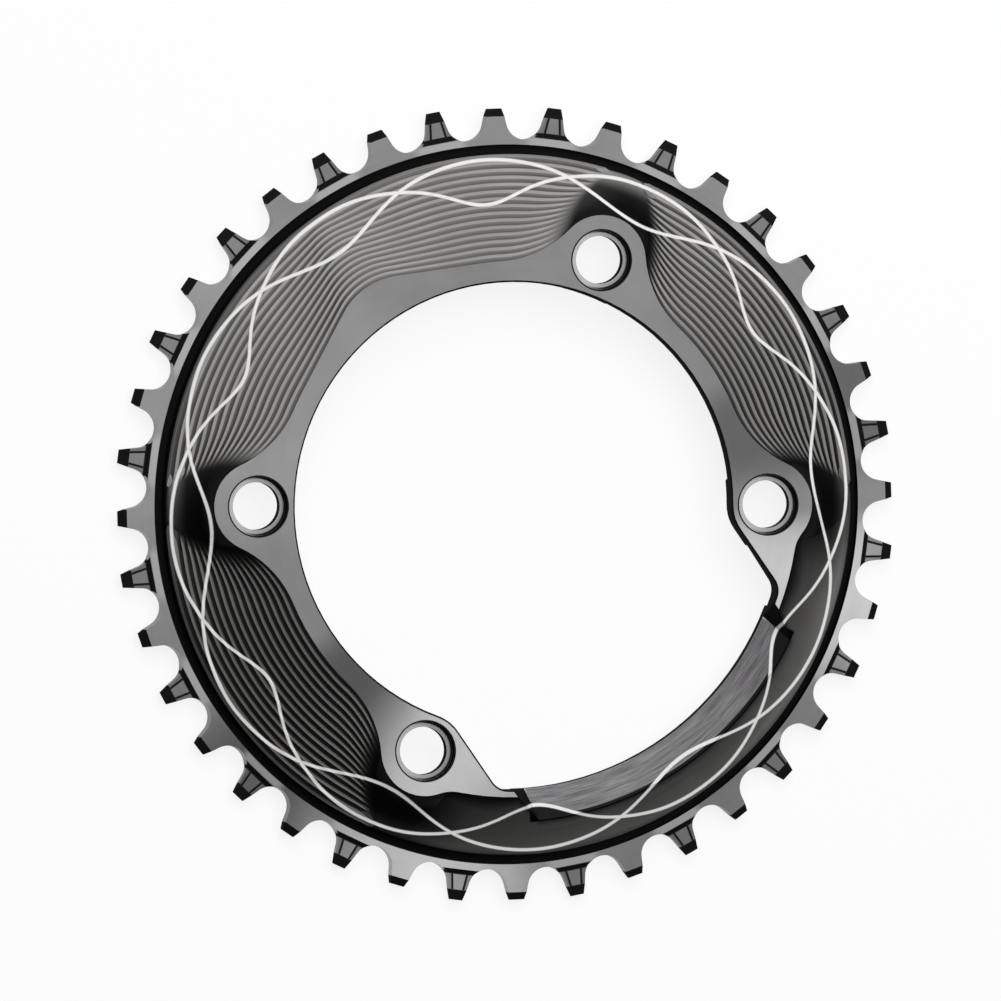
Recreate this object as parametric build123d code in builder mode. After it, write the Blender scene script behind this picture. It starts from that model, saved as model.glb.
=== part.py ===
"""Narrow-wide bicycle chainring with forty teeth and four unevenly spaced bolts.

The ring is milled from one plate of aluminium. It lies on the back of its
teeth: Z = 0 is that back, Z is the wheel axis and the outer face looks up.
The crank arm crosses the ring on the -Y side, where the face is cut away.
"""

import math
import os

from build123d import *

# Chain and teeth, in millimetres and degrees
tooth_count = 40
chain_pitch = 12.7
roller_diameter = 7.8
seat_radius = 4.15
flank_angle = 17.0
first_wide_tooth_angle = 2.9
wide_tooth_height = 6.45
narrow_tooth_height = 7.05
wide_tip_bevel_length = 1.6
wide_tip_bevel_depth = 1.25
narrow_tip_bevel_length = 2.1
narrow_tip_bevel_depth = 0.75
narrow_recess_depth = 0.75
narrow_recess_start = 0.5
narrow_recess_slope_length = 0.8

# Rim that carries the teeth, and the groove inside it
rim_thickness = 3.6
rim_width = 1.1
groove_width = 1.95
groove_floor_thickness = 1.6

# Terraced web, which climbs from the groove to the outer face
web_edge_height = 5.5
face_height = 10.3
terrace_pitch = 1.5
terrace_blend_growth = 3.0
skirt_foot_slope = 13.0
skirt_steps = 3
skirt_cover = 0.8
face_lip = 0.3

# Flat band round the opening
band_width = 4.5
band_thickness = 3.0
opening_edge_chamfer = 0.4
crown_height = 6.3
crown_rounding = 15.0

# Four ears for the bolts
bolt_circle_diameter = 110.0
bolt_angle = 35.0
bolt_hole_diameter = 10.1
counterbore_diameter = 12.6
counterbore_depth = 2.2
counterbore_wall = 1.6
ear_radius = 9.5
ear_thickness = 5.0
ear_blend_radius = 23.0
ear_seat_clearance = 1.0

# Crank arm's side of the ring
crank_opening_radius = 60.0
crank_opening_wall = 1.85
crank_opening_corner = 4.0
ear_side_rounding = 9.0
tail_width = 1.5
tail_blend_radius = 8.0
crank_relief_half_width = 31.0
crank_relief_edge_height = 5.3
crank_relief_slope = 20.5
crank_relief_end_lean = 30.0
crank_relief_back_height = 2.7
crank_rib_half_angle = 34.0

# Back of the rim, from the teeth to the recess behind the web
back_rim_width = 2.6
back_wall_height = 2.0
back_wall_lean = 1.2

# How far cutters run past what they cut and joined bodies run into each other
overrun = 0.8
match_tolerance = 0.01

# Radii that follow from the sizes above
pitch_radius = chain_pitch / (2 * math.sin(math.pi / tooth_count))
root_radius = pitch_radius - roller_diameter / 2
seat_centre_radius = root_radius + seat_radius
wide_tip_radius = root_radius + wide_tooth_height
narrow_tip_radius = root_radius + narrow_tooth_height
groove_outer_radius = root_radius - rim_width
web_radius = groove_outer_radius - groove_width
bolt_radius = bolt_circle_diameter / 2
counterbore_radius = counterbore_diameter / 2
opening_radius = bolt_radius - counterbore_radius - counterbore_wall
band_radius = opening_radius + band_width
crown_radius = band_radius + crown_height
tail_radius = crank_opening_radius + tail_width
half_pitch_angle = 180 / tooth_count
tooth_pair_count = tooth_count // 2
first_narrow_tooth_angle = first_wide_tooth_angle + 2 * half_pitch_angle
bolt_x_distance = bolt_radius * math.cos(math.radians(bolt_angle))
crank_opening_half_width = bolt_x_distance - counterbore_radius - crank_opening_wall

# Point where a tooth's straight flank leaves the roller seat, on a tooth along +X
flank_lean = math.radians(flank_angle - half_pitch_angle)
flank_foot = (
    seat_centre_radius * math.cos(math.radians(half_pitch_angle))
    - seat_radius * math.sin(flank_lean),
    seat_centre_radius * math.sin(math.radians(half_pitch_angle))
    - seat_radius * math.cos(flank_lean),
)

# Terraces: how many there are and how far each one steps down and out
terrace_count = round((web_radius - band_radius) / terrace_pitch)
terrace_drop = (face_height - web_edge_height) / terrace_count
terrace_step = (web_radius - band_radius) / terrace_count
crown_step = (web_radius - crown_radius) / terrace_count

# Places of the four bolts
bolt_points = [
    (side * bolt_x_distance, end * bolt_radius * math.sin(math.radians(bolt_angle)))
    for side in (1, -1)
    for end in (1, -1)
]


def skirt_arc(crest_radius, foot_radius):
    """Radius and centre of the hollow arc that falls from a crest to the web's edge."""
    slope = math.radians(skirt_foot_slope)
    crest_height = face_height - face_lip
    across = crest_radius - foot_radius
    rise = crest_height - web_edge_height
    lean = across * math.sin(slope) + rise * math.cos(slope)
    radius = (across ** 2 + rise ** 2) / (2 * lean)
    centre_r = foot_radius + radius * math.sin(slope)
    centre_z = web_edge_height + radius * math.cos(slope)
    return radius, centre_r, centre_z


def skirt_reach(crest_radius, foot_radius, height):
    """How far out the skirt's arc lies at a height."""
    radius, centre_r, centre_z = skirt_arc(crest_radius, foot_radius)
    return centre_r - math.sqrt(radius ** 2 - (centre_z - height) ** 2)


def skirt(crest_radius, foot_radius, start_angle=0, arc=360):
    """Body turned round Z whose top falls along a skirt's arc, in a few straight cuts."""
    crest_height = face_height - face_lip
    radius, centre_r, centre_z = skirt_arc(crest_radius, foot_radius)
    crest_slope = math.acos((centre_z - crest_height) / radius)
    foot_slope = math.radians(skirt_foot_slope)
    slope_step = (crest_slope - foot_slope) / skirt_steps
    slopes = [crest_slope - step * slope_step for step in range(skirt_steps + 1)]
    hollow = [
        (centre_r - radius * math.sin(slope), centre_z - radius * math.cos(slope))
        for slope in slopes
    ]
    with BuildPart() as body:
        with BuildSketch(Plane.XZ.rotated((0, 0, start_angle))):
            with BuildLine():
                Polyline(*hollow, (foot_radius, skirt_base_height),
                         (0, skirt_base_height), (0, crest_height), close=True)
            make_face()
        revolve(axis=Axis.Z, revolution_arc=arc)
    return body.part


def tooth_outline(tip_radius):
    """Corners of a tooth's flanks, pointing along +X, from just inside the roller seats."""
    foot_x, foot_y = flank_foot
    slope = math.tan(flank_lean)
    low_x = foot_x - overrun
    low_y = foot_y + overrun * slope
    tip_y = foot_y - (tip_radius - foot_x) * slope
    return [(low_x, -low_y), (tip_radius, -tip_y), (tip_radius, tip_y), (low_x, low_y)]


def crown_outline(base_radius, point_radius):
    """Triangle whose sides leave a circle as tangents and meet in a point on +Y."""
    reach = math.acos(base_radius / point_radius)
    touch_x = base_radius * math.sin(reach)
    touch_y = base_radius * math.cos(reach)
    return [(0, 0), (touch_x, touch_y), (0, point_radius), (-touch_x, touch_y)]


def ear_corners(vertices, reach):
    """Corners on the ears' circles, at their reach, that the crank arm's side leaves in place."""
    def on_ear(corner):
        return any(
            abs(math.hypot(corner.X - bolt_x, corner.Y - bolt_y) - reach) < match_tolerance
            for bolt_x, bolt_y in bolt_points
        )

    return vertices.filter_by(on_ear).filter_by(
        lambda corner: corner.Y > -abs(corner.X) * math.tan(math.radians(bolt_angle)))


def tail_corners(vertices):
    """Corners where the tails leave the outer sides of the ears."""
    return vertices.filter_by(
        lambda corner: corner.Y < 0
        and abs(math.hypot(corner.X, corner.Y) - tail_radius) < match_tolerance)


def opening_side_corners(vertices):
    """Corners where the opening's circle meets the straight sides next to the ears."""
    return vertices.filter_by(
        lambda corner: corner.Y < 0
        and abs(abs(corner.X) - crank_opening_half_width) < match_tolerance
        and abs(math.hypot(corner.X, corner.Y) - opening_radius) < match_tolerance)


def tooth_side_cutter(corners):
    """Cutter for both faces of one tooth on +X, from its section above the mid plane."""
    with BuildPart() as cutter:
        with BuildSketch(Plane.XZ):
            with BuildLine():
                Polyline(*corners, close=True)
            make_face()
        extrude(amount=chain_pitch / 2, both=True)
        mirror(about=Plane.XY.offset(rim_thickness / 2))
    return cutter.part


# Cutters for the sides of the wide and the narrow teeth
above_rim = rim_thickness + overrun
past_tips = narrow_tip_radius + overrun
wide_bevel_start = wide_tip_radius - wide_tip_bevel_length
wide_bevel_end_height = rim_thickness - wide_tip_bevel_depth
wide_side_cutter = tooth_side_cutter([
    (wide_bevel_start, rim_thickness),
    (wide_tip_radius, wide_bevel_end_height),
    (past_tips, wide_bevel_end_height),
    (past_tips, above_rim),
    (wide_bevel_start, above_rim),
])
recess_start = root_radius + narrow_recess_start
recess_height = rim_thickness - narrow_recess_depth
narrow_bevel_start = narrow_tip_radius - narrow_tip_bevel_length
narrow_bevel_end_height = recess_height - narrow_tip_bevel_depth
narrow_side_cutter = tooth_side_cutter([
    (recess_start, rim_thickness),
    (recess_start + narrow_recess_slope_length, recess_height),
    (narrow_bevel_start, recess_height),
    (narrow_tip_radius, narrow_bevel_end_height),
    (past_tips, narrow_bevel_end_height),
    (past_tips, above_rim),
    (recess_start, above_rim),
])

# Cutter for the crank arm's side: all that stands above a hollow cone, with leaning ends
relief_rise = math.tan(math.radians(crank_relief_slope))
relief_inner_radius = crank_opening_radius - overrun
relief_inner_height = crank_relief_edge_height - overrun * relief_rise
relief_top = face_height + overrun
relief_outer_radius = relief_inner_radius + (relief_top - relief_inner_height) / relief_rise
relief_start_height = crank_relief_edge_height - overrun
relief_reach = 2 * web_radius
with BuildPart() as crank_relief:
    with BuildSketch(Plane.XZ):
        with BuildLine():
            Polyline(
                (relief_inner_radius, relief_inner_height),
                (relief_outer_radius, relief_top),
                (relief_inner_radius, relief_top),
                close=True,
            )
        make_face()
    revolve(axis=Axis.Z)
    with BuildSketch(Plane.XY.offset(relief_start_height)):
        with Locations((0, -relief_reach / 2)):
            Rectangle(2 * crank_relief_half_width, relief_reach)
    extrude(amount=relief_top - relief_start_height, taper=-crank_relief_end_lean,
            mode=Mode.INTERSECT)

# Recess behind the web, which leaves the ears and the crank arm's side standing
back_rim_radius = web_radius - back_rim_width
back_wall_radius = back_rim_radius - back_wall_lean
band_back_height = face_height - band_thickness
with BuildPart() as back_recess:
    with BuildSketch(Plane.XZ):
        with BuildLine():
            Polyline(
                (0, -overrun),
                (back_rim_radius, -overrun),
                (back_rim_radius, 0),
                (back_wall_radius, back_wall_height),
                (band_radius, band_back_height),
                (0, band_back_height),
                close=True,
            )
        make_face()
    revolve(axis=Axis.Z)
    with BuildSketch(Plane.XY.offset(-overrun)):
        with Locations(*bolt_points):
            Circle(ear_radius)
    extrude(amount=face_height, mode=Mode.SUBTRACT)
    rib_x = relief_reach * math.sin(math.radians(crank_rib_half_angle))
    rib_y = relief_reach * math.cos(math.radians(crank_rib_half_angle))
    with BuildSketch(Plane.XY.offset(-overrun)):
        Polygon((0, 0), (-rib_x, -rib_y), (rib_x, -rib_y), align=None)
    extrude(amount=face_height, mode=Mode.SUBTRACT)

# Shallower recess behind the crank arm's side
with BuildPart() as crank_recess:
    with BuildSketch(Plane.XZ):
        with BuildLine():
            Polyline(
                (0, -overrun),
                (back_rim_radius, -overrun),
                (back_rim_radius, 0),
                (back_wall_radius, back_wall_height),
                (crank_opening_radius, crank_relief_back_height),
                (0, crank_relief_back_height),
                close=True,
            )
        make_face()
    revolve(axis=Axis.Z)
    with BuildSketch(Plane.XY.offset(-overrun)):
        Polygon((0, 0), (-rib_x, -rib_y), (rib_x, -rib_y), align=None)
    extrude(amount=face_height, mode=Mode.INTERSECT)

# Skirts that fall from the ears' and the tails' edges to the web's edge
skirt_base_height = rim_thickness / 2
ear_foot_radius = web_radius - bolt_radius + overrun / 2
tail_foot_radius = web_radius + overrun / 2
tail_arc = 180 - 2 * bolt_angle
ear_skirt = skirt(ear_radius, ear_foot_radius)
tail_skirt = skirt(tail_radius, tail_foot_radius, 180 + bolt_angle, tail_arc)

# Toothed rim, from the groove out to the tips
with BuildPart() as toothed_rim:
    with BuildSketch():
        Circle(math.hypot(*flank_foot))
        with PolarLocations(0, tooth_pair_count, start_angle=first_wide_tooth_angle):
            Polygon(*tooth_outline(wide_tip_radius), align=None)
        with PolarLocations(0, tooth_pair_count, start_angle=first_narrow_tooth_angle):
            Polygon(*tooth_outline(narrow_tip_radius), align=None)
        with PolarLocations(seat_centre_radius, tooth_count,
                            start_angle=first_wide_tooth_angle + half_pitch_angle):
            Circle(seat_radius, mode=Mode.SUBTRACT)
        Circle(web_radius, mode=Mode.SUBTRACT)
    extrude(amount=rim_thickness)
    with PolarLocations(0, tooth_pair_count, start_angle=first_wide_tooth_angle):
        add(wide_side_cutter, mode=Mode.SUBTRACT)
    with PolarLocations(0, tooth_pair_count, start_angle=first_narrow_tooth_angle):
        add(narrow_side_cutter, mode=Mode.SUBTRACT)

# Web with its terraces, its flat face and the skirts, still solid to the back
with BuildPart() as web:
    with BuildSketch():
        Circle(web_radius + groove_width / 2)
    extrude(amount=web_edge_height)
    for level in range(terrace_count - 1, 0, -1):
        base_radius = band_radius + level * terrace_step
        point_radius = crown_radius + level * crown_step
        top = face_height - level * terrace_drop
        ear_reach = skirt_reach(ear_radius, ear_foot_radius - skirt_cover, top)
        ears_show = bolt_radius + ear_reach > base_radius + overrun
        with BuildSketch(Plane.XY.offset(top - terrace_drop)) as terrace:
            Circle(base_radius)
            if ears_show:
                with Locations(*bolt_points):
                    Circle(ear_reach)
                fillet(ear_corners(terrace.vertices(), ear_reach),
                       ear_blend_radius + level * terrace_blend_growth)
            Polygon(*crown_outline(base_radius, point_radius), align=None)
            fillet(terrace.vertices().sort_by(Axis.Y)[-1], crown_rounding)
        extrude(amount=terrace_drop)
    with BuildSketch(Plane.XY.offset(face_height - terrace_drop)) as face:
        Circle(band_radius)
        with Locations(*bolt_points):
            Circle(ear_radius)
        fillet(ear_corners(face.vertices(), ear_radius), ear_blend_radius)
        Polygon(*crown_outline(band_radius, crown_radius), align=None)
        fillet(face.vertices().sort_by(Axis.Y)[-1], crown_rounding)
        with BuildLine():
            tail_edge = CenterArc((0, 0), tail_radius, 180 + bolt_angle, tail_arc)
            Line((0, 0), tail_edge @ 0)
            Line((0, 0), tail_edge @ 1)
        make_face()
        if tail_radius < bolt_radius + ear_radius:
            fillet(tail_corners(face.vertices()), tail_blend_radius)
    extrude(amount=terrace_drop)
    with Locations(*bolt_points):
        add(ear_skirt)
    add(tail_skirt)

    # Opening for the crank, wider on the crank arm's side, with its upper edge broken
    with BuildSketch(Plane.XY.offset(-overrun)) as opening:
        Circle(crank_opening_radius)
        with Locations((0, -crank_opening_radius / 2)):
            Rectangle(2 * crank_opening_half_width, crank_opening_radius, mode=Mode.INTERSECT)
        fillet(opening.vertices().group_by(Axis.Y)[0], crank_opening_corner)
        Circle(opening_radius)
        fillet(opening_side_corners(opening.vertices()), ear_side_rounding)
    extrude(amount=face_height + 2 * overrun, mode=Mode.SUBTRACT)
    flat_face = web.faces().sort_by(Axis.Z)[-1]
    chamfer(flat_face.inner_wires()[0].edges(), opening_edge_chamfer)

    # Crank arm's side, and the recesses behind the web
    add(crank_relief.part, mode=Mode.SUBTRACT)
    add(back_recess.part, mode=Mode.SUBTRACT)
    add(crank_recess.part, mode=Mode.SUBTRACT)

    # Seats on the backs of the ears, and the stepped holes for the bolts
    with BuildSketch(Plane.XY.offset(-overrun)):
        with Locations(*bolt_points):
            Circle(ear_radius + ear_seat_clearance)
    extrude(amount=face_height - ear_thickness + overrun, mode=Mode.SUBTRACT)
    with Locations(Plane.XY.offset(face_height)):
        with Locations(*bolt_points):
            CounterBoreHole(bolt_hole_diameter / 2, counterbore_radius, counterbore_depth)

# The whole chainring, with the groove between the rim and the web
with BuildPart() as chainring:
    add(toothed_rim.part)
    add(web.part)
    with BuildSketch(Plane.XY.offset(groove_floor_thickness)):
        Circle(groove_outer_radius)
        Circle(web_radius, mode=Mode.SUBTRACT)
    extrude(amount=face_height, mode=Mode.SUBTRACT)

chainring.part.label = "chainring"
os.makedirs("parts", exist_ok=True)
export_step(chainring.part, "parts/chainring.step")
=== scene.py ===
"""Looks of a narrow-wide bicycle chainring: satin black anodised aluminium with a terraced web.

Lengths are worked out in millimetres and angles in degrees, as in the part's source, and go into
the meshes in metres. The crank arm's side is towards -Y and the crown of the web towards +Y.
"""

import math

import bpy
import numpy as np
from mathutils import Matrix, Vector


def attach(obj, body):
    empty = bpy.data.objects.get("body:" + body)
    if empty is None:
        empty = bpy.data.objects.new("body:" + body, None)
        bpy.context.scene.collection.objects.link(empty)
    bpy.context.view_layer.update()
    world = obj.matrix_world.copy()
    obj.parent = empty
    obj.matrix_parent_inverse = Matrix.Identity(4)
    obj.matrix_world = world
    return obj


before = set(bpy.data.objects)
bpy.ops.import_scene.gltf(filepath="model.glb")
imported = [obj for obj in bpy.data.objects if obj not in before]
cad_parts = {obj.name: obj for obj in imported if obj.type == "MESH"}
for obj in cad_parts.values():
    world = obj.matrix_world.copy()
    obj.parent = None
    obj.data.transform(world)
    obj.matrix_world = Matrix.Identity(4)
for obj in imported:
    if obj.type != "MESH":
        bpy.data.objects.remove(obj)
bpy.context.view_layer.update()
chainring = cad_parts["chainring"]
MM = 0.001

# Directions in the plane of the ring that run to the right and up in the photograph
image_right = Vector((0.8192, -0.5736, 0.0))
image_up = Vector((0.5736, 0.8192, 0.0))

# Sizes of the web and the rim
FACE_HEIGHT = 10.3
WEB_EDGE_HEIGHT = 5.5
BAND_RADIUS = 51.6
CROWN_RADIUS = 57.9
CROWN_ROUNDING = 15.0
WEB_RADIUS = 73.98
GROOVE_OUTER_RADIUS = 75.93
GROOVE_FLOOR_HEIGHT = 1.6
TERRACE_COUNT = 15
TERRACE_DROP = (FACE_HEIGHT - WEB_EDGE_HEIGHT) / TERRACE_COUNT
TERRACE_STEP = (WEB_RADIUS - BAND_RADIUS) / TERRACE_COUNT
CROWN_STEP = (WEB_RADIUS - CROWN_RADIUS) / TERRACE_COUNT

# Ears, their counterbores and their skirts
BOLT_RADIUS = 55.0
BOLT_ANGLES = (35.0, 145.0, 215.0, 325.0)
BOLT_X = 45.05
BOLT_Y = 31.55
COUNTERBORE_RADIUS = 6.3
COUNTERBORE_DEPTH = 2.2
EAR_RADIUS = 9.5
EAR_FOOT = 19.38
EAR_BLEND = 23.0
EAR_BLEND_GROWTH = 3.0
SKIRT_CREST_HEIGHT = 10.0
SKIRT_FOOT_SLOPE = 13.0

# The crank arm's side: the ears' tails and the slanted face between its end walls
CRANK_SIDE_ANGLE = 270.0
TAIL_RADIUS = 61.5
TAIL_FOOT = 74.38
TAIL_BLEND = 8.0
RELIEF_RADIUS = 60.0
RELIEF_HEIGHT = 5.3
RELIEF_SLOPE = 20.5
RELIEF_HALF_WIDTH = 31.0
RELIEF_END_LEAN = 30.0
RELIEF_START_HEIGHT = 4.5

# The two skins that lie on the web: how far above the solid, and how their edges end
TERRACE_COVER = 0.03
SKIRT_COVER = 0.12
INNER_EDGE_DROP = 0.2
OUTER_EDGE_DROP = 0.6
OUTER_EDGE_REACH = 0.02

# The share of a terrace that is its slope, and the part of an ear's fillet over which the smooth
# skirt goes over into terraces
SLOPE_SHARE = 0.56
FILLET_SMOOTH_START = 0.02
FILLET_SMOOTH_END = 0.42

# The painted shade in the hollows next to the ears gets lighter between these radii, by this much
HOLLOW_DARK_RADIUS = 69.5
HOLLOW_LIGHT_RADIUS = 73.5
HOLLOW_LIGHTENING = 0.75

# Painted shade on the crank side's skirt, by the angle from the crank arm's side: how far it
# reaches from the inner edge and how deep it is there, and between which angles it comes in before
# the ears. The skirt's lighter grey, a painted sheen, goes out before the ears too.
EDGE_DARK_REACH = ((31.0, 40.0), (1.7, 5.0))
EDGE_DARK_DEPTH = ((29.0, 34.0), (0.75, 1.0))
SKIRT_DARKEST = 0.95
EAR_DARK_START = 35.0
EAR_GREY_START = 42.0
EAR_DARK_END = 54.0

# Teeth
TOOTH_PAIRS = 20
NARROW_TOOTH_ANGLE = 11.9
STEP_RADIUS = 77.65
RECESS_RADIUS = 78.35
TIP_BEVEL_RADIUS = 81.9
FLANK_FOOT_RADIUS = 80.04
FLANK_FOOT_HALF_WIDTH = 2.318
FLANK_SLOPE = 0.2217

# The two silver lines that wind round each other over the web. Each one's polar radius is a sum
# of powers of the cosine of six times its angle, and these are the powers' shares.
STRAND_WAVES = 6
FIRST_STRAND = (70.24, 3.70, -1.52, 0.28, 0.24)
SECOND_STRAND = (70.10, -3.48, -0.80, -1.21, -1.05)
STRAND_HALF_WIDTH = 0.34
STRAND_SOFTNESS = 0.15
STRAND_GREY = 0.80

# Painted sheen on the flat faces, which changes round the ring: direction, half width and base
# grey
PLAIN_GREY = 0.13
PAINTED_SHEEN = ((191.0, 14.0, 0.052), (272.0, 30.0, 0.095), (342.0, 15.0, 0.068),
         (223.0, 20.0, 0.30), (310.0, 15.0, 0.33), (125.0, 40.0, 0.165))

# Sides that the web's greys change towards, as painted light and shade: direction, and the cosines
# between which they come in
LIT_CROWN_SIDE = (80.0, 0.0, 0.75)
SHADED_SIDE = (165.0, 0.8, 0.98)
LEFT_SIDE = (185.0, 0.3, 0.9)
UPPER_LEFT_SIDE = (145.0, 0.0, 0.9)


# Shapes

def profile_arc(crest, foot):
    """Radius and centre of the hollow arc from a crest to a foot, where it ends at 13 degrees."""
    slope = math.radians(SKIRT_FOOT_SLOPE)
    across = crest - foot
    rise = SKIRT_CREST_HEIGHT - WEB_EDGE_HEIGHT
    lean = across * math.sin(slope) + rise * math.cos(slope)
    radius = (across ** 2 + rise ** 2) / (2 * lean)
    return radius, foot + radius * math.sin(slope), WEB_EDGE_HEIGHT + radius * math.cos(slope)


def skirt_height(reach, crest, foot):
    """Height of a skirt at a reach: the arc's centre less the other side of a right triangle."""
    radius, centre_r, centre_z = profile_arc(crest, foot)
    reach = np.clip(reach, crest, foot)
    return centre_z - np.sqrt(radius ** 2 - (centre_r - reach) ** 2)


def skirt_reach(height, crest, foot):
    """Reach of a skirt at a height, the same right triangle read the other way."""
    radius, centre_r, centre_z = profile_arc(crest, foot)
    height = np.clip(height, WEB_EDGE_HEIGHT, SKIRT_CREST_HEIGHT)
    return centre_r - np.sqrt(radius ** 2 - (centre_z - height) ** 2)


def ease(value, start, end):
    """0 up to start, 1 from end on, and a soft S between."""
    share = np.clip((value - start) / (end - start), 0, 1)
    return share * share * (3 - 2 * share)


def turn_between(angle, direction):
    """Unsigned angle between two directions, from 0 to 180."""
    return np.abs((angle - direction + 180.0) % 360.0 - 180.0)


def eared_radius(away, base, reach, blend):
    """Polar radius of a circle of radius base joined to an ear's circle by a hollow fillet.

    away is the angle from the ear's direction. Inside the first touching angle it is the ear's
    circle, up to the second the fillet, and beyond it the base circle. Returns the radius and
    the share of the way along the fillet, 0 at the ear and 1 at the base circle.
    """
    away = np.radians(away)
    far = base + blend
    meet = np.arccos(np.clip(
        (BOLT_RADIUS ** 2 + far ** 2 - (reach + blend) ** 2) / (2 * BOLT_RADIUS * far), -1, 1))
    share = reach / (reach + blend)
    touch = np.arctan2(share * far * np.sin(meet),
                       BOLT_RADIUS + share * (far * np.cos(meet) - BOLT_RADIUS))
    ear = BOLT_RADIUS * np.cos(away) + np.sqrt(
        np.maximum(reach ** 2 - (BOLT_RADIUS * np.sin(away)) ** 2, 0))
    hollow = far * np.cos(meet - away) - np.sqrt(
        np.maximum(blend ** 2 - (far * np.sin(meet - away)) ** 2, 0))
    radius = np.where(away < touch, ear, np.where(away < meet, hollow, base))
    return radius, (away - touch) / np.maximum(meet - touch, 1e-6)


def contour(level, angle):
    """Polar radius of the web's contour at a level, 0 at the flat face and 15 at the groove.

    It is the largest of a circle that grows by one terrace step a level, two tangents of it that
    meet in a rounded point on +Y, and four ears. Also returns how smooth the web is there: 1
    on the ears' skirts, falling to 0 along their fillets.
    """
    base = BAND_RADIUS + level * TERRACE_STEP
    point = CROWN_RADIUS + level * CROWN_STEP
    lean = np.arccos(base / point)
    away = np.radians(turn_between(angle, 90.0))
    centre = (base - CROWN_ROUNDING) / np.cos(lean)
    touch = np.arctan2(CROWN_ROUNDING * np.sin(lean), centre + CROWN_ROUNDING * np.cos(lean))
    tip = centre * np.cos(away) + np.sqrt(
        np.maximum(CROWN_ROUNDING ** 2 - (centre * np.sin(away)) ** 2, 0))
    side = base / np.cos(np.minimum(away - lean, 0))
    radius = np.where(away < touch, tip, side)
    reach = skirt_reach(FACE_HEIGHT - level * TERRACE_DROP, EAR_RADIUS, EAR_FOOT)
    smooth = np.zeros(np.broadcast(level, angle).shape)
    for bolt in BOLT_ANGLES:
        ear, along = eared_radius(turn_between(angle, bolt), base, reach,
                                  EAR_BLEND + level * EAR_BLEND_GROWTH)
        radius = np.maximum(radius, ear)
        smooth = np.maximum(smooth, 1 - ease(along, FILLET_SMOOTH_START, FILLET_SMOOTH_END))
    return np.minimum(radius, WEB_RADIUS), smooth


def polar_points(radius, angle, height):
    """Points from polar radius, angle and height, as arrays."""
    turn = np.radians(angle)
    return np.stack(np.broadcast_arrays(
        radius * np.cos(turn), radius * np.sin(turn), height), axis=-1)


def grid_mesh(name, points):
    """A mesh object of quads over an array of points, rows by columns by three."""
    rows, columns = points.shape[:2]
    index = np.arange(rows * columns).reshape(rows, columns)
    quads = np.stack([index[:-1, :-1], index[:-1, 1:], index[1:, 1:], index[1:, :-1]], axis=-1)
    mesh = bpy.data.meshes.new(name)
    mesh.vertices.add(rows * columns)
    mesh.vertices.foreach_set("co", (points * MM).astype(np.float32).ravel())
    mesh.loops.add(quads.size)
    mesh.loops.foreach_set("vertex_index", quads.astype(np.int32).ravel())
    mesh.polygons.add(quads.size // 4)
    mesh.polygons.foreach_set("loop_start", np.arange(0, quads.size, 4, dtype=np.int32))
    mesh.update(calc_edges=True)
    mesh.validate()
    piece = bpy.data.objects.new(name, mesh)
    bpy.context.scene.collection.objects.link(piece)
    return piece


def add_attribute(piece, name, rows):
    """A number for each vertex of a grid, which the piece's material reads by name."""
    layer = piece.data.attributes.new(name, "FLOAT", "POINT")
    layer.data.foreach_set("value", rows.astype(np.float32).ravel())


def outer_edge(points, angle):
    """The last row of a skin: a short drop into the groove below the row before it."""
    return polar_points(np.full((1, points.shape[1]), WEB_RADIUS + OUTER_EDGE_REACH), angle,
                        points[-1:, :, 2] - OUTER_EDGE_DROP)


def hollow_shade_depth(radius):
    """Painted shade in a hollow next to an ear, 1 inside and falling softly towards the groove."""
    return 1 - HOLLOW_LIGHTENING * ease(radius, HOLLOW_DARK_RADIUS, HOLLOW_LIGHT_RADIUS)


def terraced_web():
    """The web's face between the band and the groove, from the one lower ear to the other.

    Rows are contours. Within a level the height falls one terrace drop in a straight slope over
    the first half and then stays flat. On the ears' skirts it falls evenly instead, and between
    the two the heights are mixed by the contour's smoothness. The slope attribute is 1 on the
    steps' slopes, which get painted shade, and dark is 1 where painted shade lies in the hollows
    next to the ears.
    """
    row_shares = np.array([0.0, 0.06, SLOPE_SHARE - 0.04, SLOPE_SHARE + 0.02, 0.96])
    row_slopes = np.array([0.85, 1.0, 0.65, 0.0, 0.0])
    column_count = 1001
    rounding_guard = 1e-9
    levels = (np.arange(TERRACE_COUNT)[:, None] + row_shares[None, :]).ravel()
    levels = np.append(levels, TERRACE_COUNT)[:, None]
    angles = np.linspace(BOLT_ANGLES[3] - 360.0, BOLT_ANGLES[2], column_count)[None, :]
    radius, smooth = contour(levels, angles)
    whole = np.floor(levels + rounding_guard)
    fall = np.clip((levels - whole) / SLOPE_SHARE, 0, 1)
    stair = FACE_HEIGHT - (whole + fall) * TERRACE_DROP
    even = FACE_HEIGHT - levels * TERRACE_DROP
    cover = np.clip(levels / SLOPE_SHARE, 0, 1) * (
        TERRACE_COVER + (SKIRT_COVER - TERRACE_COVER) * smooth)
    points = polar_points(radius, angles, stair + (even - stair) * smooth + cover)
    inner_edge = points[:1] - (0, 0, INNER_EDGE_DROP)
    piece = grid_mesh("terraced_web",
                      np.concatenate([inner_edge, points, outer_edge(points, angles)]))
    slope = np.append(np.tile(row_slopes, TERRACE_COUNT), 0.0)[:, None] * (1 - smooth)
    # Painted shade in the hollows next to the ears
    dark = smooth * hollow_shade_depth(radius)
    for name, rows in (("slope", slope), ("dark", dark), ("web", np.ones_like(dark))):
        add_attribute(piece, name, np.concatenate([rows[:1], rows, rows[-1:]]))
    return piece


def slant_top_radius():
    """Polar radius where the slanted face comes out through the tail's skirt."""
    tries = np.linspace(TAIL_RADIUS, TAIL_FOOT, 4000)
    slant = RELIEF_HEIGHT + (tries - RELIEF_RADIUS) * math.tan(math.radians(RELIEF_SLOPE))
    over = skirt_height(tries, TAIL_RADIUS, TAIL_FOOT) - slant
    return tries[np.argmax(over < 0)]


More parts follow.
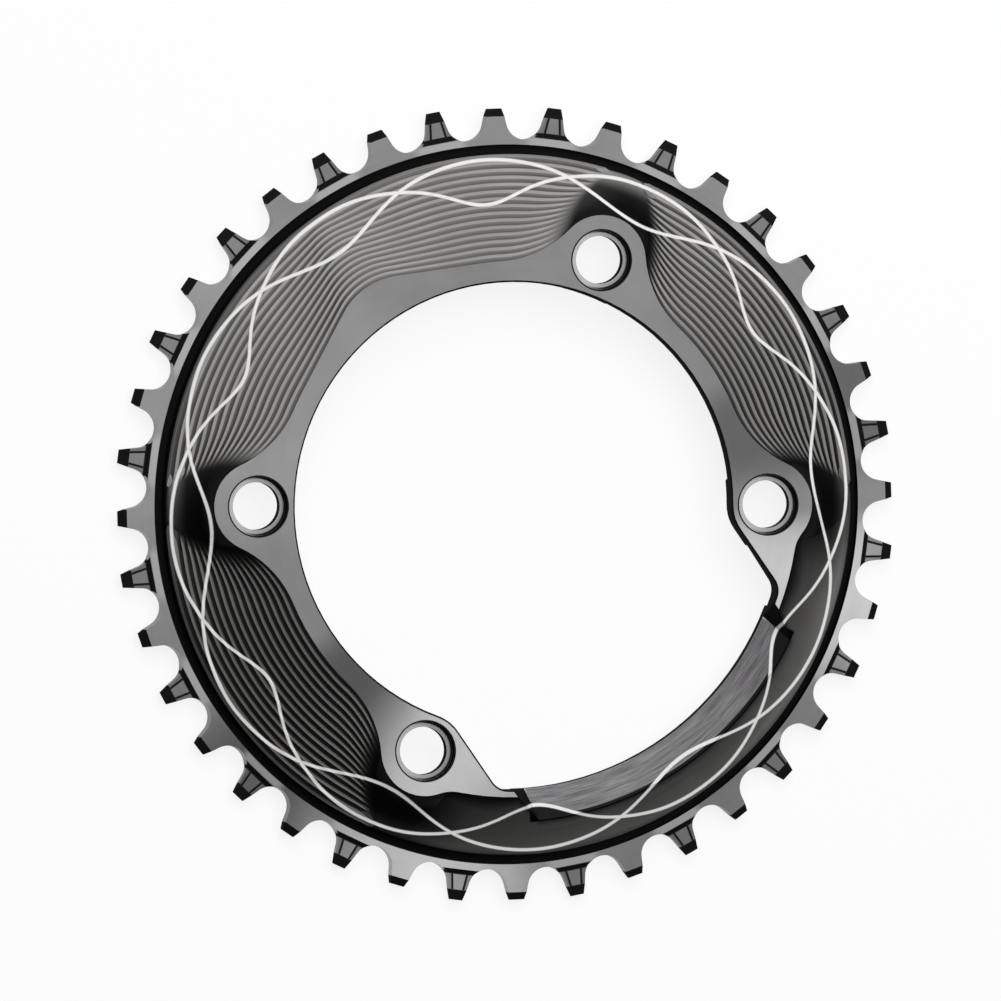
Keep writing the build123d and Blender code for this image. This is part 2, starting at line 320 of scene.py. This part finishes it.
def crank_side_skirt():
    """The smooth skirt outside the crank arm's side, from the one lower ear to the other.

    Its height is the larger of the tail's skirt, taken at the polar radius, and the ear's skirt,
    taken at the distance from the bolt. Its inner edge follows the face's outline, then the end
    wall's line and the top of the slanted face. The dark attribute, painted shade, is 1 next to
    that edge and in front of the ears, and skirt is 1 away from the ears, where the lighter grey
    is a painted sheen.
    """
    wall_count, column_count, row_count = 40, 260, 40
    first_row_gap, row_crowding = 0.05, 1.2
    wall = np.linspace(TAIL_RADIUS, slant_top_radius(), wall_count)
    wall_rise = skirt_height(wall, TAIL_RADIUS, TAIL_FOOT) - RELIEF_START_HEIGHT
    wall_x = RELIEF_HALF_WIDTH + wall_rise * math.tan(math.radians(RELIEF_END_LEAN))
    wall_away = np.degrees(np.arcsin(wall_x / wall))
    half_turn = CRANK_SIDE_ANGLE - BOLT_ANGLES[2]
    columns = np.unique(np.concatenate([np.linspace(0, half_turn, column_count), wall_away]))
    away = np.concatenate([-columns[:0:-1], columns])
    angle = CRANK_SIDE_ANGLE + away
    away = np.abs(away)
    face_edge, _ = eared_radius(half_turn - away, TAIL_RADIUS, EAR_RADIUS, TAIL_BLEND)
    cut_edge = np.interp(away, wall_away[::-1], wall[::-1])
    on_face = away > wall_away[0]
    inner = np.where(on_face, face_edge, cut_edge)
    share = np.concatenate([[0.0, 0.0], np.linspace(0.0, 1.0, row_count) ** row_crowding])[:, None]
    step = np.full_like(share, first_row_gap)
    step[0] = 0.0
    radius = np.minimum(inner + step + share * (WEB_RADIUS - inner), WEB_RADIUS)
    points = polar_points(radius, angle, 0.0)
    height = skirt_height(radius, TAIL_RADIUS, TAIL_FOOT)
    for bolt in np.radians(BOLT_ANGLES[2:]):
        distance = np.hypot(points[..., 0] - BOLT_RADIUS * math.cos(bolt),
                            points[..., 1] - BOLT_RADIUS * math.sin(bolt))
        height = np.maximum(height, skirt_height(distance, EAR_RADIUS, EAR_FOOT))
    height = np.minimum(height + SKIRT_COVER, FACE_HEIGHT)
    height[0] = np.where(on_face, FACE_HEIGHT, skirt_height(inner, TAIL_RADIUS, TAIL_FOOT))
    points[..., 2] = height
    piece = grid_mesh("crank_side_skirt", np.concatenate([points, outer_edge(points, angle)]))
    # Painted shade next to the inner edge and in front of the ears
    edge_reach = np.interp(away, *EDGE_DARK_REACH)
    edge_depth = np.interp(away, *EDGE_DARK_DEPTH)
    beside_edge = edge_depth * (1 - ease(radius, inner, inner + edge_reach))
    before_ear = ease(away, EAR_DARK_START, EAR_DARK_END) * hollow_shade_depth(radius)
    dark = np.maximum(beside_edge, before_ear) * SKIRT_DARKEST
    skirt = (1 - ease(away, EAR_GREY_START, EAR_DARK_END)) * np.ones_like(dark)
    for name, rows in (("dark", dark), ("web", np.ones_like(dark)), ("skirt", skirt)):
        add_attribute(piece, name, np.concatenate([rows, rows[-1:]]))
    return piece


# Materials. A few tenths of a millimetre beside a radius, a width or a height are the soft edge
# of a mask there.

class Term:
    """A number that varies over a surface. Arithmetic on it adds the Math nodes it needs."""

    def __init__(self, paint, socket):
        self.paint = paint
        self.socket = socket

    def __add__(self, other):
        return self.paint.math("ADD", self, other)

    def __sub__(self, other):
        return self.paint.math("SUBTRACT", self, other)

    def __rsub__(self, other):
        return self.paint.math("SUBTRACT", other, self)

    def __mul__(self, other):
        return self.paint.math("MULTIPLY", self, other)

    def __truediv__(self, other):
        return self.paint.math("DIVIDE", self, other)

    def __neg__(self):
        return self.paint.math("MULTIPLY", self, -1.0)

    __radd__ = __add__
    __rmul__ = __mul__


class Paint:
    """A material and its nodes, with the place, the polar radius and the turn as numbers."""

    def __init__(self, name):
        self.material = bpy.data.materials.new(name)
        self.material.use_nodes = True
        self.tree = self.material.node_tree
        self.tree.nodes.clear()
        coordinates = self.node("ShaderNodeTexCoord").outputs
        self.place = coordinates["Object"]
        parts = self.node("ShaderNodeSeparateXYZ", {}, {"Vector": self.place})
        self.x, self.y, self.z = (Term(self, parts.outputs[axis]) / MM for axis in "XYZ")
        self.r = self.math("SQRT", self.x * self.x + self.y * self.y)
        self.turn = self.math("ARCTAN2", self.y, self.x)
        facing = self.node("ShaderNodeSeparateXYZ", {}, {"Vector": coordinates["Normal"]})
        self.upright = self.math("ABSOLUTE", Term(self, facing.outputs["Z"]))

    def node(self, kind, settings=None, sockets=None):
        """A node of a kind, with its settings made first and then its sockets set or linked."""
        made = self.tree.nodes.new(kind)
        for key, value in (settings or {}).items():
            setattr(made, key, value)
        for key, value in (sockets or {}).items():
            socket = made.inputs[key]
            if isinstance(value, Term):
                value = value.socket
            if isinstance(value, bpy.types.NodeSocket):
                self.tree.links.new(value, socket)
            else:
                socket.default_value = value
        return made

    def math(self, operation, *values):
        """The result of a Math node."""
        made = self.node("ShaderNodeMath", {"operation": operation}, dict(enumerate(values)))
        return Term(self, made.outputs[0])

    def largest(self, first, *others):
        """The largest of two or more numbers."""
        for other in others:
            first = self.math("MAXIMUM", first, other)
        return first

    def rise(self, value, start, end):
        """0 where the value is at start, 1 at end, with a soft S between."""
        made = self.node("ShaderNodeMapRange", {"interpolation_type": "SMOOTHSTEP"},
                         {0: value, 1: start, 2: end})
        return Term(self, made.outputs[0])

    def fall(self, value, start, end):
        """1 where the value is at start, 0 at end, with a soft S between."""
        return 1 - self.rise(value, start, end)

    def towards(self, direction, start, end):
        """0 to 1 as the cosine of the angle from a direction in degrees goes from start to end."""
        return self.rise(self.math("COSINE", self.turn - math.radians(direction)), start, end)

    def noise(self, vector, scale, detail=3.0, roughness=0.5):
        """A cloudy number about one half."""
        made = self.node("ShaderNodeTexNoise", {},
                         {"Vector": vector, "Scale": scale, "Detail": detail,
                          "Roughness": roughness})
        return Term(self, made.outputs[0])

    def vector(self, x, y, z):
        """A vector of three numbers."""
        return self.node("ShaderNodeCombineXYZ", {}, {"X": x, "Y": y, "Z": z}).outputs[0]

    def mix(self, share, first, second):
        """A colour between two, by share."""
        made = self.node("ShaderNodeMix", {"data_type": "RGBA"}, {0: share, 6: first, 7: second})
        return made.outputs[2]

    def attribute(self, name):
        """A number that a piece keeps for its vertices, 0 where it keeps none."""
        made = self.node("ShaderNodeAttribute", {"attribute_name": name})
        return Term(self, made.outputs["Fac"])

    def shader(self, sockets):
        """The Principled shader with its sockets."""
        return self.node("ShaderNodeBsdfPrincipled", {}, sockets).outputs[0]

    def finish(self, surface):
        """Joins the surface to the material's output."""
        self.node("ShaderNodeOutputMaterial", {}, {"Surface": surface})
        return self.material


def grey(value, warmth=0.0):
    """A near neutral colour, a little warmer or cooler."""
    return (value * (1 + warmth), value, value * (1 - warmth), 1.0)


def flat_faces(paint):
    """Colour of the flat faces, with a painted sheen that changes round the ring."""
    base = grey(PLAIN_GREY)
    for direction, half_width, value in PAINTED_SHEEN:
        edge = math.cos(math.radians(half_width))
        base = paint.mix(paint.towards(direction, edge, 1.0), base, grey(value))
    return base


def web_faces(paint, base):
    """Colour of the web in painted light and shade: slopes darker than treads, both lightest
    towards the crown, treads darker towards one side, slopes lighter towards the left, and darker
    beside the groove.
    """
    plain_tread, shaded_tread, lit_tread = grey(0.108, 0.02), grey(0.072, 0.03), grey(0.165, 0.02)
    plain_slope, lit_left_slope, lit_slope = grey(0.014, 0.02), grey(0.032, 0.02), grey(0.040, 0.03)
    skirt_sheen_grey, groove_edge_shade_grey, cloud_grey = grey(0.30, 0.02), grey(0.02), grey(0.05, 0.02)
    cloud_scale, cloud_strength = 60.0, 0.22
    least_shade, more_shade = 0.4, 0.55
    # Painted light towards the crown and on the left, painted shade towards one side and on the
    # slopes
    lit_crown = paint.towards(*LIT_CROWN_SIDE)
    tread = paint.mix(paint.towards(*SHADED_SIDE), plain_tread, shaded_tread)
    tread = paint.mix(lit_crown, tread, lit_tread)
    slope = paint.mix(paint.towards(*LEFT_SIDE), plain_slope, lit_left_slope)
    slope = paint.mix(lit_crown, slope, lit_slope)
    web = paint.mix(paint.attribute("slope"), tread, slope)
    # The skirt's lighter grey is a painted sheen
    web = paint.mix(paint.attribute("skirt"), web, skirt_sheen_grey)
    # Painted shade beside the groove, deepest towards the upper left
    beside_groove = paint.rise(paint.r, WEB_RADIUS - 1.3, WEB_RADIUS - 0.2)
    shade = beside_groove * (least_shade + more_shade * paint.towards(*UPPER_LEFT_SIDE))
    web = paint.mix(shade, web, groove_edge_shade_grey)
    base = paint.mix(paint.attribute("web"), base, web)
    cloud = paint.rise(paint.noise(paint.place, cloud_scale), 0.3, 0.7)
    return paint.mix(cloud * cloud_strength, base, cloud_grey)


def slanted_face(paint, base):
    """Colour with the slanted face and its streaks, and a mask of painted shade in its outer
    corners.
    """
    slant_end, slant_foot, slant_top = 31.0, 5.0, 66.5
    corner_radius, corner_turn, corner_slope = 66.05, 22.5, 0.39
    r = paint.r
    away = paint.math("ARCCOSINE", -paint.y / r) * (180 / math.pi)
    crank_side = paint.fall(away, slant_end, slant_end + 0.6) * paint.rise(
        paint.z, slant_foot, slant_foot + 0.2)
    dark_streak, light_streak, violet = grey(0.045), grey(0.115), (0.085, 0.068, 0.09, 1.0)
    violet_strength = 0.5
    streaks = paint.noise(paint.vector(r * 5.0, away * 0.12, 0.0),
                          scale=1.0, detail=5.0, roughness=0.65)
    tint = paint.noise(paint.vector(r * 1.5, away * 0.3, 7.0), scale=1.0, detail=2.0)
    slant = paint.mix(paint.rise(streaks, 0.35, 0.65), dark_streak, light_streak)
    slant = paint.mix(paint.rise(tint, 0.45, 0.75) * violet_strength, slant, violet)
    on_slant = crank_side * paint.fall(r, slant_top, slant_top + 0.1)
    # Painted shade in the outer corners of the slanted face
    edge = corner_radius - paint.largest(away - corner_turn, 0.0) * corner_slope
    corner = paint.rise(r - edge, 0.0, 0.15) * crank_side * paint.fall(
        r, slant_top + 0.4, slant_top + 0.7)
    return paint.mix(on_slant, base, slant), corner


def narrow_teeth(paint, base):
    """Colour with the narrow teeth's recessed faces darkened as painted shade, and a mask of
    painted shade that makes tips, steps and lines black.
    """
    recess_half_width, rim_half_width, rim_fade_half_width = 3.3, 4.0, 6.5
    recess_strength, beside_strength, rim_strength = 0.5, 0.4, 0.35
    face_share = 0.62
    below_one = 0.9999
    recess_shade_grey, beside_shade_grey, rim_grey = grey(0.075), grey(0.05), grey(0.3)
    r = paint.r
    phase = (paint.turn - math.radians(NARROW_TOOTH_ANGLE)) * TOOTH_PAIRS
    turn_across = paint.math("ARCCOSINE", paint.math("COSINE", phase) * below_one) / TOOTH_PAIRS
    across = turn_across * r
    flank = (FLANK_FOOT_RADIUS - r) * FLANK_SLOPE + FLANK_FOOT_HALF_WIDTH
    beside = across - flank * face_share
    # Painted shade: the tips' bevels, the steps' walls and lines along the recesses' edges go
    # black
    tip = paint.rise(r, TIP_BEVEL_RADIUS - 0.05, TIP_BEVEL_RADIUS + 0.05)
    recess = (paint.rise(r, RECESS_RADIUS - 0.05, RECESS_RADIUS + 0.05) * (1 - tip)
              * paint.fall(across, recess_half_width, recess_half_width + 0.2))
    # Painted shade on the recessed faces and beside them
    base = paint.mix(recess * recess_strength, base, recess_shade_grey)
    base = paint.mix(recess * paint.rise(beside, 0.1, 0.3) * beside_strength, base, beside_shade_grey)
    line = recess * paint.fall(paint.math("ABSOLUTE", beside), 0.14, 0.34)
    step = (paint.rise(r, STEP_RADIUS - 0.1, STEP_RADIUS + 0.1)
            * paint.fall(across, recess_half_width, recess_half_width + 0.3)
            * paint.fall(r, RECESS_RADIUS + 0.2, RECESS_RADIUS + 0.4))
    rim_below = (paint.rise(r, GROOVE_OUTER_RADIUS, GROOVE_OUTER_RADIUS + 0.1)
                 * paint.fall(r, STEP_RADIUS - 0.3, STEP_RADIUS - 0.1)
                 * paint.fall(across, rim_half_width, rim_fade_half_width))
    base = paint.mix(rim_below * rim_strength, base, rim_grey)
    return base, paint.largest(tip, line, step)


def counterbores(paint, base):
    """Colour with the counterbores' lighter floors, painted lit on one side and shaded on the
    other, and a mask of painted shade on their broken edges and at the foot of the shaded wall.
    """
    seat_height = FACE_HEIGHT - COUNTERBORE_DEPTH
    shaded_seat, lit_seat = grey(0.17), grey(0.24)
    bolt_x = paint.x - paint.math("SIGN", paint.x) * BOLT_X
    bolt_y = paint.y - paint.math("SIGN", paint.y) * BOLT_Y
    from_bolt = paint.math("SQRT", bolt_x * bolt_x + bolt_y * bolt_y)
    shaded_place, lit_place = 2.0, -4.0
    to_the_right = bolt_x * image_right.x + bolt_y * image_right.y
    lit_side = paint.rise(to_the_right, shaded_place, lit_place)
    # Painted shade: a black ring at the broken edge of each counterbore
    broken_edge_shade = (paint.rise(from_bolt, COUNTERBORE_RADIUS - 0.05, COUNTERBORE_RADIUS)
                   * paint.fall(from_bolt, COUNTERBORE_RADIUS + 0.2, COUNTERBORE_RADIUS + 0.36)
                   * paint.rise(paint.z, FACE_HEIGHT - 0.2, FACE_HEIGHT - 0.1))
    seat = (paint.fall(from_bolt, COUNTERBORE_RADIUS - 0.1, COUNTERBORE_RADIUS)
            * paint.rise(paint.z, seat_height - 0.2, seat_height - 0.1))
    # Painted light and shade: the floor is lighter on its lit side
    base = paint.mix(seat, base, paint.mix(lit_side, shaded_seat, lit_seat))
    # Painted shade at the foot of the wall on the shaded side
    wall_foot_shade = (1 - lit_side) * seat * paint.rise(
        from_bolt, COUNTERBORE_RADIUS - 0.55, COUNTERBORE_RADIUS - 0.35)
    return base, paint.largest(broken_edge_shade, wall_foot_shade)


def walls(paint):
    """Mask of painted shade on walls and bevels, apart from the flanks of the teeth, by how far a
    face looks up.
    """
    wall_limits, bevel_limits = (0.2, 0.4), (0.82, 0.88)
    rim_begins = (76.0, 76.3)
    flanks = paint.rise(paint.r, *rim_begins) * paint.fall(paint.upright, *wall_limits)
    return paint.fall(paint.upright, *bevel_limits) * (1 - flanks)


def groove(paint):
    """Mask of painted shade in the groove between the web and the rim."""
    across = (paint.rise(paint.r, WEB_RADIUS - 0.25, WEB_RADIUS)
              * paint.fall(paint.r, GROOVE_OUTER_RADIUS - 0.02, GROOVE_OUTER_RADIUS + 0.06))
    return (across * paint.fall(paint.z, WEB_EDGE_HEIGHT - 0.6, WEB_EDGE_HEIGHT)
            * paint.rise(paint.z, GROOVE_FLOOR_HEIGHT - 0.4, GROOVE_FLOOR_HEIGHT - 0.1))


def strands(paint):
    """Mask of the two silver lines, where the radius is close to that of one of them."""
    wave = paint.math("COSINE", paint.turn * STRAND_WAVES)
    distances = []
    for shares in (FIRST_STRAND, SECOND_STRAND):
        radius = shares[-1]
        for share in reversed(shares[:-1]):
            radius = share + wave * radius
        distances.append(paint.math("ABSOLUTE", paint.r - radius))
    nearest = paint.math("MINIMUM", *distances)
    on_line = paint.fall(nearest, STRAND_HALF_WIDTH - STRAND_SOFTNESS,
                         STRAND_HALF_WIDTH + STRAND_SOFTNESS)
    lines_begin = (62.6, 62.7)
    on_web = (paint.rise(paint.z, WEB_EDGE_HEIGHT - 0.3, WEB_EDGE_HEIGHT - 0.1)
              * paint.rise(paint.r, *lines_begin)
              * paint.fall(paint.r, WEB_RADIUS - 0.1, WEB_RADIUS))
    return on_line * on_web


def anodised_aluminium():
    """Satin black anodised metal: mottled, brushed round the wheel axis, with painted shade on
    walls, bevels, in the groove and in the hollows next to the ears, a painted sheen round the
    ring, silver strands and a streaked slanted face."""
    paint = Paint("anodised_aluminium")
    base = web_faces(paint, flat_faces(paint))
    base, slant_corner_shade = slanted_face(paint, base)
    base, tooth_shade = narrow_teeth(paint, base)
    base, bore_shade = counterbores(paint, base)
    in_groove = groove(paint)
    # Painted shade: walls, bevels, tooth tips and steps, counterbore edges and the groove go black
    black = paint.largest(walls(paint), tooth_shade, bore_shade, in_groove)
    corner_shade_grey, hollow_shade_grey, painted_shade_grey = grey(0.006), grey(0.012), grey(0.010)
    # Painted shade in the slanted face's outer corners
    base = paint.mix(slant_corner_shade, base, corner_shade_grey)
    # Painted shade in the hollows next to the ears and by the crank side's inner edge
    base = paint.mix(paint.attribute("dark"), base, hollow_shade_grey)
    base = paint.mix(black, base, painted_shade_grey)
    on_strand = strands(paint)
    base = paint.mix(on_strand, base, grey(STRAND_GREY, 0.01))
    brush_across, brush_along = 3.0, 0.06
    brushed = paint.noise(
        paint.vector(paint.r * brush_across, paint.x * brush_along, paint.y * brush_along),
        scale=1.0, detail=4.0)
    plain_roughness, brush_roughness, groove_roughness, strand_roughness = 0.30, 0.10, 0.3, 0.25
    dullness = 0.96
    bump = paint.node("ShaderNodeBump", {}, {"Strength": 0.12, "Distance": 0.00002,
                                             "Height": brushed})
    return paint.finish(paint.shader({
        "Base Color": base,
        "Metallic": (1.0 - on_strand) * (1.0 - black * dullness),
        "Roughness": (plain_roughness + brush_roughness * brushed
                      + groove_roughness * in_groove + strand_roughness * on_strand),
        "Specular IOR Level": 0.0,
        "Normal": bump.outputs[0]}))


def floor_material():
    """Plain white floor, which a camera or a shiny surface sees nearly at full white."""
    paint = Paint("white_floor")
    floor_grey, white_share = grey(0.93), 0.85
    least_roughness, more_roughness, cloud_scale = 0.7, 0.1, 3.0
    rough = least_roughness + more_roughness * paint.noise(paint.place, cloud_scale)
    plain = paint.shader({"Base Color": floor_grey, "Roughness": rough})
    ray = paint.node("ShaderNodeLightPath").outputs
    seen = paint.largest(*(Term(paint, ray[name]) for name in
                           ("Is Camera Ray", "Is Glossy Ray", "Is Transmission Ray")))
    white = paint.node("ShaderNodeEmission", {}, {"Color": grey(1.0), "Strength": 1.0})
    surface = paint.node("ShaderNodeMixShader", {},
                         {0: seen * white_share, 1: plain, 2: white.outputs[0]})
    return paint.finish(surface.outputs[0])


# Pieces

ring_finish = anodised_aluminium()
chainring.data.materials.clear()
chainring.data.materials.append(ring_finish)

for piece in (terraced_web(), crank_side_skirt()):
    piece.data.materials.append(ring_finish)
    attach(piece, "root")

# Floor

floor_height = -0.05
floor_ends = (-6000.0, 6000.0)
floor = grid_mesh("floor", np.array([
    [[x, y, floor_height] for x in floor_ends] for y in floor_ends]))
floor.data.materials.append(floor_material())

# Light


def softbox(name, right, up, height, size, watts):
    """A rectangular lamp that faces the ring, at a place in the photograph's directions."""
    place = image_right * right + image_up * up + Vector((0, 0, height))
    lamp = bpy.data.lights.new(name, "AREA")
    lamp.shape = "RECTANGLE"
    lamp.size, lamp.size_y = size
    lamp.energy = watts
    holder = bpy.data.objects.new(name, lamp)
    bpy.context.scene.collection.objects.link(holder)
    holder.location = place
    holder.rotation_euler = (-place).to_track_quat("-Z", "Y").to_euler()


softbox("overhead_softbox", right=0.15, up=0.35, height=1.0, size=(1.5, 1.1), watts=13.5)
softbox("upper_softbox", right=-0.1, up=1.35, height=1.1, size=(1.3, 0.5), watts=7.0)

# The world is a dim grey that a camera sees as white
world = bpy.data.worlds.new("studio")
bpy.context.scene.world = world
world.use_nodes = True
sky = world.node_tree.nodes["Background"]
sky.inputs["Strength"].default_value = 1.0
light_path = world.node_tree.nodes.new("ShaderNodeLightPath")
sky_colour = world.node_tree.nodes.new("ShaderNodeMix")
sky_colour.data_type = "RGBA"
dim_grey, seen_white = grey(0.05), grey(1.0)
sky_colour.inputs[6].default_value = dim_grey
sky_colour.inputs[7].default_value = seen_white
world.node_tree.links.new(light_path.outputs["Is Camera Ray"], sky_colour.inputs[0])
world.node_tree.links.new(sky_colour.outputs[2], sky.inputs["Color"])

# The photograph looks down from 12.6 degrees off the wheel axis, with a long lens. It is
# 1001 pixels wide, and the ring's centre, 1.8 mm above its back, lies at these pixels from the
# photograph's left and upper edges.
photo_width = 1001
photo_centre = photo_width / 2
ring_centre_right, ring_centre_down = 505.0, 504.4
ring_centre = Vector((0, 0, 0.0018))
frame_width = 0.2111
pixel = frame_width / photo_width
view_distance = 10.0
view_direction = Vector((-0.1566, 0.1513, 0.976)).normalized()
view_up = Vector((0.5764, 0.8165, -0.0341)).normalized()
view_right = view_up.cross(view_direction).normalized()
look_at = (ring_centre - view_right * (ring_centre_right - photo_centre) * pixel
           + view_up * (ring_centre_down - photo_centre) * pixel)
camera_data = bpy.data.cameras.new("camera")
camera_data.sensor_width = 36.0
camera_data.lens = camera_data.sensor_width * view_distance / frame_width
camera_data.clip_end = 100.0
camera = bpy.data.objects.new("camera", camera_data)
bpy.context.scene.collection.objects.link(camera)
view_axes = Matrix((view_right, view_up, view_direction)).transposed().to_4x4()
camera.matrix_world = Matrix.Translation(look_at + view_direction * view_distance) @ view_axes
bpy.context.scene.camera = camera
bpy.context.scene.view_settings.view_transform = "Standard"
